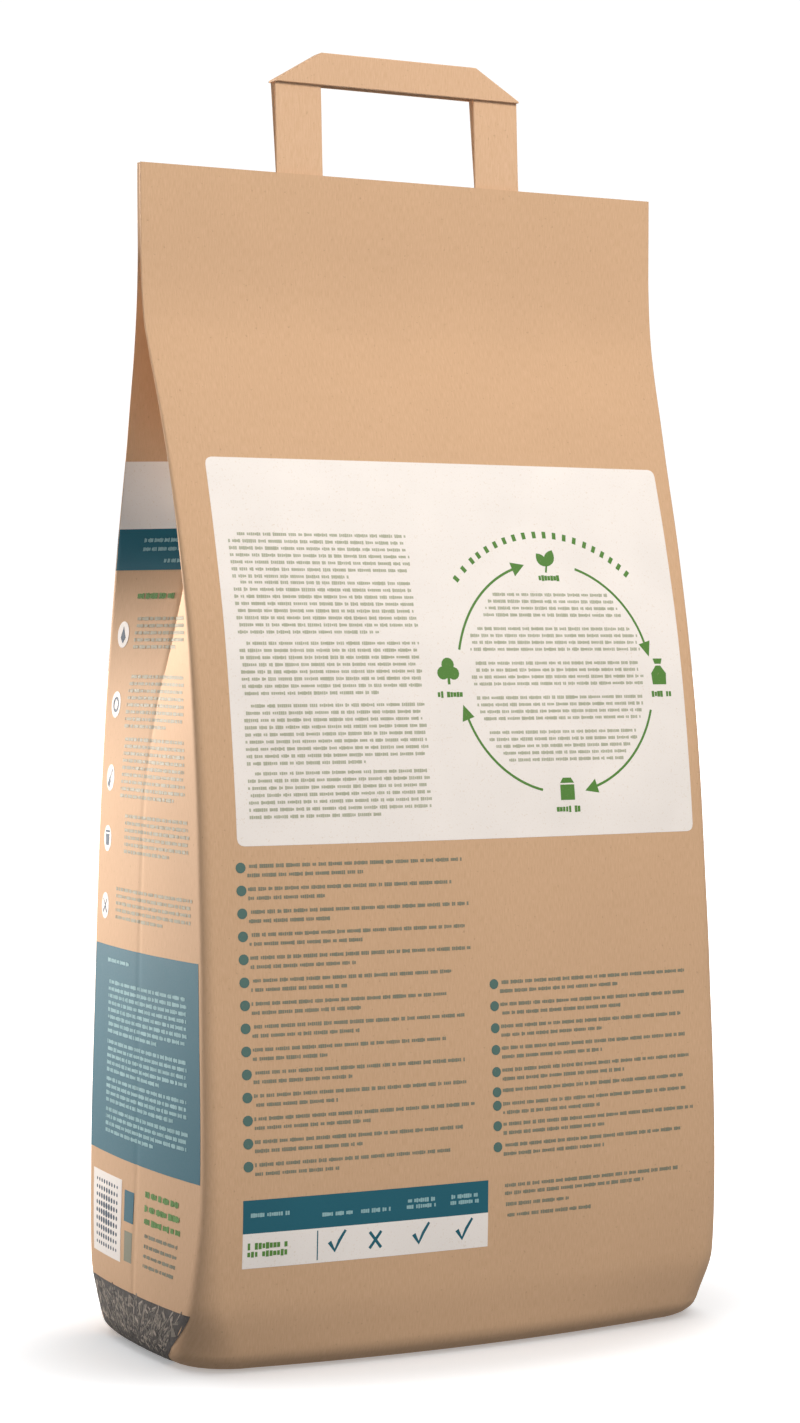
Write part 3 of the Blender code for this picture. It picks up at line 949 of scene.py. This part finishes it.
SLIVER_INPUTS = {"Density": "Float", "Seed": "Int"}
sliver_tree, given = new_tree("scatter_slivers", {**SLIVER_INPUTS, **SHEET_INPUTS})
spots = add(sliver_tree, "GeometryNodeDistributePointsOnFaces", {
    "Mesh": given["Geometry"], "Density": given["Density"], "Seed": given["Seed"]})
sliver = add(sliver_tree, "GeometryNodeMeshCube", {"Size": (1.0, 1.0, 1.0)})
shape = random_value(sliver_tree, "FLOAT_VECTOR", given["Seed"],
                     Min=(2.0 * MM, 0.5 * MM, 0.05 * MM), Max=(6.0 * MM, 1.5 * MM, 0.20 * MM))
turn = random_value(sliver_tree, "FLOAT_VECTOR", given["Seed"], Min=(0.0, 0.0, 0.0), Max=(0.0, 0.0, math.pi))
lying = add(sliver_tree, "GeometryNodeInstanceOnPoints", {
    "Points": spots.outputs["Points"], "Instance": sliver.outputs[0], "Rotation": turn, "Scale": shape})
shade = random_value(sliver_tree, "FLOAT", given["Seed"], Min=0.0, Max=0.75)
toned = add(sliver_tree, "GeometryNodeStoreNamedAttribute", {
    "Geometry": lying.outputs[0], "Name": "tone"}, domain="INSTANCE", data_type="FLOAT")
sliver_tree.links.new(shade, toned.inputs["Value"])
wrap_on_sheet(sliver_tree, given, toned.outputs[0])

STRIP_TOP = 25.0
chip_ink = sliver_ink()
press("chip_strip_ground", film("chip_strip_ground", [field(SIDE_BACK - 1, SIDE_FRONT + 1, 0.4, STRIP_TOP, step=1.1)]),
      field_tree, Lift=0.10 * MM, Ink=chip_ink)
spread = bpy.data.meshes.new("chip_field")
spread_points, spread_cells = field(SIDE_BACK + 1, SIDE_FRONT - 1, 1.5, STRIP_TOP - 1.6)
spread.from_pydata([(x * MM, y * MM, 0.0) for x, y in spread_points], [], spread_cells)
press("chip_strip", spread, sliver_tree, Density=230000.0, Seed=4, Lift=0.16 * MM, Ink=chip_ink)

# %% [markdown]
# ## Layers of paper
# A sack like this shows how it was folded where its sheets end: two inner layers between the outer
# ones along the top, one glued lap down the back, and triangular ears under a patch on the bottom.
# Each is a thin closed sheet. They use the same kraft, with its fibres upright in object space.

# %% Inner layers, back lap and bottom folds
layer_finish = kraft("brown_kraft_inner_layers", "#c9a37f", "#d3ae8b", "#8a6a4b")
press("back_lap", film("back_lap", [field(333.0, 353.0, 2.0, 511.0)], 0.35), field_tree,
      Lift=0.16 * MM, Ink=layer_finish)


def paper_piece(name, mesh, finish):
    """Adds a finished sheet of paper as a piece of its own."""
    piece = link_object(name, mesh)
    piece.data.materials.append(finish)
    piece.data.shade_smooth()
    piece.data.set_sharp_from_angle(angle=math.radians(35))
    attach(piece, "root")
    return piece


def inner_layers():
    """Two upright sheets in the channel of the seam, slightly wavy, like paper left loose."""
    mesh = bpy.data.meshes.new("inner_layers")
    sheets = bmesh.new()
    half_sheet = 0.22 * MM
    for side in (-1.0, 1.0):
        rows = []
        for x in np.linspace(-PANEL + 1.2 * MM, PANEL - 1.2 * MM, 53):
            wave = 0.12 * MM * noise.noise(Vector((x * 45, side * 3, 0)))
            middle = side * 1.05 * MM + wave
            rows.append([sheets.verts.new((x, middle + y, z)) for y, z in (
                (-half_sheet, SACK_HEIGHT - SEAM_CHANNEL - 0.5 * MM), (half_sheet, SACK_HEIGHT - SEAM_CHANNEL - 0.5 * MM),
                (half_sheet, SACK_HEIGHT - 0.35 * MM), (-half_sheet, SACK_HEIGHT - 0.35 * MM))])
        for low, high in zip(rows, rows[1:]):
            for corner in range(4):
                after = (corner + 1) % 4
                sheets.faces.new((low[corner], high[corner], high[after], low[after]))
        sheets.faces.new(rows[0])
        sheets.faces.new(list(reversed(rows[-1])))
    bmesh.ops.recalc_face_normals(sheets, faces=sheets.faces)
    sheets.to_mesh(mesh)
    sheets.free()
    return mesh


paper_piece("inner_layers", inner_layers(), layer_finish)
ears = [polygon((-118, -38), (-74, 0), (-118, 38)), polygon((118, 38), (74, 0), (118, -38))]
for name, shapes, height in (
        ("bottom_ears", ears, 0.46), ("bottom_patch", [field(-98, 98, -41, 41, 2.0, 12.0)], 0.18)):
    flat = film(name, shapes, 0.22)
    flat.transform(Matrix.Translation((0.0, 0.0, height * MM)))
    paper_piece(name, flat, layer_finish)

# %% [markdown]
# ## The carrying strap
# The strap is one paper band folded lengthwise into a flat, hollow strip. Each leg comes up out of
# the seam nearly flat and opens to a slim box where it turns into the grip, with a crease along each
# narrow side. At the two top corners the band is folded over at a slant, and the grip between them is
# an upside-down channel, so its underside is dark. Legs and grip are lofted from their own sections.

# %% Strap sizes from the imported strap
STRAP_WIDTH = 23.2 * MM
STRAP_SLANT = 22.5 * MM
LEG_FOOT = strap_low.z
GRIP_FOOT = strap_high.z - 14.4 * MM
GRIP_BACK = strap_high.y
GRIP_FRONT = GRIP_BACK - 8.0 * MM
BAND = 1.1 * MM


def loft(solid, sections, closed_ends=True):
    """Joins rings of points, all with the same count, into one closed skin."""
    rings_made = [[solid.verts.new(point) for point in section] for section in sections]
    count = len(rings_made[0])
    for low, high in zip(rings_made, rings_made[1:]):
        for corner in range(count):
            after = (corner + 1) % count
            solid.faces.new((low[corner], low[after], high[after], high[corner]))
    if closed_ends:
        solid.faces.new(list(reversed(rings_made[0])))
        solid.faces.new(rings_made[-1])


def leg_section(left, right, height, slant=0.0):
    """One ring of a leg: soft corners, a crease at each narrow side, and a slanted top if asked."""
    free = min(max((height - SACK_HEIGHT) / (GRIP_FOOT - SACK_HEIGHT), 0.0), 1.0)
    half = (0.6 + 1.75 * free) * MM
    middle = free * (GRIP_FRONT + GRIP_BACK) / 2
    soft = min(0.35 * MM, 0.4 * half)
    crease = soft + 0.9 * free * MM
    bow = 0.25 * MM * free * noise.noise(Vector((left * 30, height * 22, 2.0)))
    inner, outer = left + bow, right + bow
    ring = [
        (inner + soft, middle - half, height), (outer - soft, middle - half, height),
        (outer, middle - half + soft, height), (outer - crease, middle, height),
        (outer, middle + half - soft, height), (outer - soft, middle + half, height),
        (inner + soft, middle + half, height), (inner, middle + half - soft, height),
        (inner + crease, middle, height), (inner, middle - half + soft, height),
    ]
    start = left if slant > 0 else right
    return [(x, y, z + slant * (x - start)) for x, y, z in ring]


def grip_section(x, left, right):
    """One ring of the grip: an upside-down channel, lower towards each slanted corner."""
    rise = min((x - left) / STRAP_SLANT, (right - x) / STRAP_SLANT, 1.0)
    foot = GRIP_FOOT + 0.10 * MM * noise.noise(Vector((x * 60, 1.0, 5.0)))
    top = GRIP_FOOT + 0.9 * MM + rise * (strap_high.z - GRIP_FOOT - 0.9 * MM)
    roof = max(top - BAND, foot + 0.1 * MM)
    soft = 0.4 * MM
    front, back = GRIP_FRONT, GRIP_BACK
    outline = [
        (front, foot + 0.2 * MM), (front + 0.2 * MM, foot), (front + BAND, foot), (front + BAND, roof),
        (back - BAND, roof), (back - BAND, foot), (back - 0.2 * MM, foot), (back, foot + 0.2 * MM),
        (back, top - soft), (back - soft, top), (front + soft, top), (front, top - soft),
    ]
    return [(x, y, z) for y, z in outline]


def strap_mesh():
    """Both legs, the grip, and the slanted flaps folded down behind it, as closed shapes."""
    solid = bmesh.new()
    left, right = strap_low.x, strap_high.x
    inset = 0.15 * MM
    tuck = (strap_high.z - GRIP_FOOT - 2.5 * MM) / STRAP_SLANT
    for inner, outer, slant in ((left, left + STRAP_WIDTH, tuck), (right - STRAP_WIDTH, right, -tuck)):
        levels = np.linspace(LEG_FOOT, GRIP_FOOT + 0.3 * MM, 30)
        rings_up = [leg_section(inner + inset, outer - inset, level) for level in levels]
        rings_up.append(leg_section(inner + inset, outer - inset, GRIP_FOOT + 0.6 * MM, slant))
        loft(solid, rings_up)
    stops = np.concatenate((
        np.linspace(left, left + STRAP_SLANT, 9),
        np.linspace(left + STRAP_SLANT, right - STRAP_SLANT, 21)[1:-1],
        np.linspace(right - STRAP_SLANT, right, 9)))
    loft(solid, [grip_section(x, left, right) for x in stops])
    for edge, slant in ((left, 1.0), (right, -1.0)):
        corners = [(edge + slant * 3 * MM, GRIP_FOOT + 0.4 * MM), (edge + slant * STRAP_SLANT, GRIP_FOOT + 0.4 * MM),
                   (edge + slant * STRAP_SLANT, strap_high.z - 1.6 * MM)]
        loft(solid, [[(x, GRIP_BACK - 0.1 * MM, z) for x, z in corners],
                     [(x, GRIP_BACK + 0.3 * MM, z) for x, z in corners]])
    bmesh.ops.recalc_face_normals(solid, faces=solid.faces)
    mesh = bpy.data.meshes.new("paper_strap")
    solid.to_mesh(mesh)
    solid.free()
    return mesh


strap = paper_piece("paper_strap", strap_mesh(), strap_paper_finish)
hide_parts("handle")
print("strap faces:", len(strap.data.polygons))
